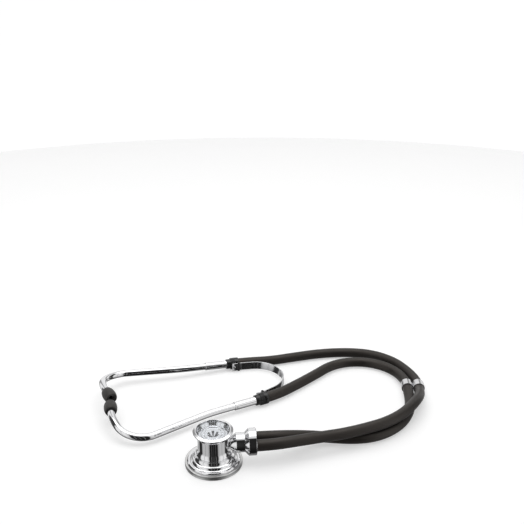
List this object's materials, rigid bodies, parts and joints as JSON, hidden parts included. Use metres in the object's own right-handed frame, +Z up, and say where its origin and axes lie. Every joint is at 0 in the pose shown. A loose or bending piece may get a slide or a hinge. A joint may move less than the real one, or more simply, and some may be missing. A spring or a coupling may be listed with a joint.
{
  "type": "stethoscope",
  "caption": "Acoustic stethoscope with a two-sided rotating chestpiece, twin rubber tubes and a spring headset with swivelling ear tubes.",
  "frame": {"origin": "centre of the large diaphragm's working face, which lies on the table", "axes": "+Z up out of the large diaphragm through the small one; +X along the stem, away from the chestpiece; right-handed"},
  "size_m": [0.2912, 0.1817, 0.0302],
  "materials": {
    "polished_chrome": "mirror polished chrome plate",
    "satin_steel": "satin, fine knurl round the edge",
    "tube_chrome": "polished chrome plate",
    "spring_steel": "bright plated spring strip",
    "tool_steel": "plain turned steel",
    "tube_rubber": "smooth matt black rubber",
    "seal_rubber": "matt black rubber",
    "collar_plastic": "glossy black moulding",
    "tip_rubber": "soft matt black",
    "ferrule_plastic": "moulded black",
    "clear_diaphragm": "clear polished film",
    "large_diaphragm_resin": "woven resin disc"
  },
  "bodies": {
    "stem": {"stem_spindle": "polished_chrome", "spindle_seals": "seal_rubber", "stem_manifold": "polished_chrome", "left_hose_barb": "polished_chrome", "right_hose_barb": "polished_chrome", "left_tube": "tube_rubber", "right_tube": "tube_rubber", "tube_clip": "spring_steel", "leaf_spring": "spring_steel"},
    "chestpiece": {"chestpiece_hub": "polished_chrome", "large_drum": "polished_chrome", "large_gasket": "seal_rubber", "large_diaphragm": "large_diaphragm_resin", "large_retaining_ring": "satin_steel", "small_drum": "polished_chrome", "small_gasket": "seal_rubber", "small_diaphragm": "clear_diaphragm", "small_retaining_ring": "polished_chrome", "detent_ball": "tool_steel", "detent_spring": "tool_steel", "detent_screw": "tool_steel", "retaining_screw": "tool_steel"},
    "left_arm": {"left_sleeve": "tube_chrome", "left_swivel_pin": "tool_steel", "left_spring_band": "spring_steel", "left_spring_rivet": "spring_steel", "left_collar": "collar_plastic"},
    "left_ear": {"left_ear_tube": "tube_chrome", "left_tip_ferrule": "ferrule_plastic", "left_ear_tip": "tip_rubber"},
    "right_arm": {"right_sleeve": "tube_chrome", "right_swivel_pin": "tool_steel", "right_spring_band": "spring_steel", "right_spring_rivet": "spring_steel", "right_collar": "collar_plastic"},
    "right_ear": {"right_ear_tube": "tube_chrome", "right_tip_ferrule": "ferrule_plastic", "right_ear_tip": "tip_rubber"}
  },
  "joints": [
    {"name": "chestpiece_turn", "type": "hinge", "parent": "stem", "child": "chestpiece", "pos_m": [0, 0, 0.017], "axis": [1, 0, 0], "continuous": true, "deforming": ["detent_ball", "detent_spring"]},
    {"name": "left_arm_open", "type": "hinge", "parent": "stem", "child": "left_arm", "pos_m": [0.05058, 0.13412, 0.0049], "axis": [0, 0, -1], "range_deg": [0, 38], "stiffness_Nm_per_rad": 0.9, "springref_deg": -2.86, "deforming": ["leaf_spring", "left_tube"]},
    {"name": "right_arm_open", "type": "hinge", "parent": "stem", "child": "right_arm", "pos_m": [0.06184, 0.09992, 0.0049], "axis": [0, 0, 1], "range_deg": [0, 10], "stiffness_Nm_per_rad": 0.9, "springref_deg": -2.86, "deforming": ["leaf_spring", "right_tube"]},
    {"name": "left_ear_swivel", "type": "hinge", "parent": "left_arm", "child": "left_ear", "pos_m": [0.0065, 0.1383, 0.0067], "axis": [-0.9749, -0.2149, 0.0576], "range_deg": [-8, 25]},
    {"name": "right_ear_swivel", "type": "hinge", "parent": "right_arm", "child": "right_ear", "pos_m": [0.02865, 0.07078, 0.00586], "axis": [0.9223, 0.3861, -0.0179], "range_deg": [-8, 25]}
  ]
}
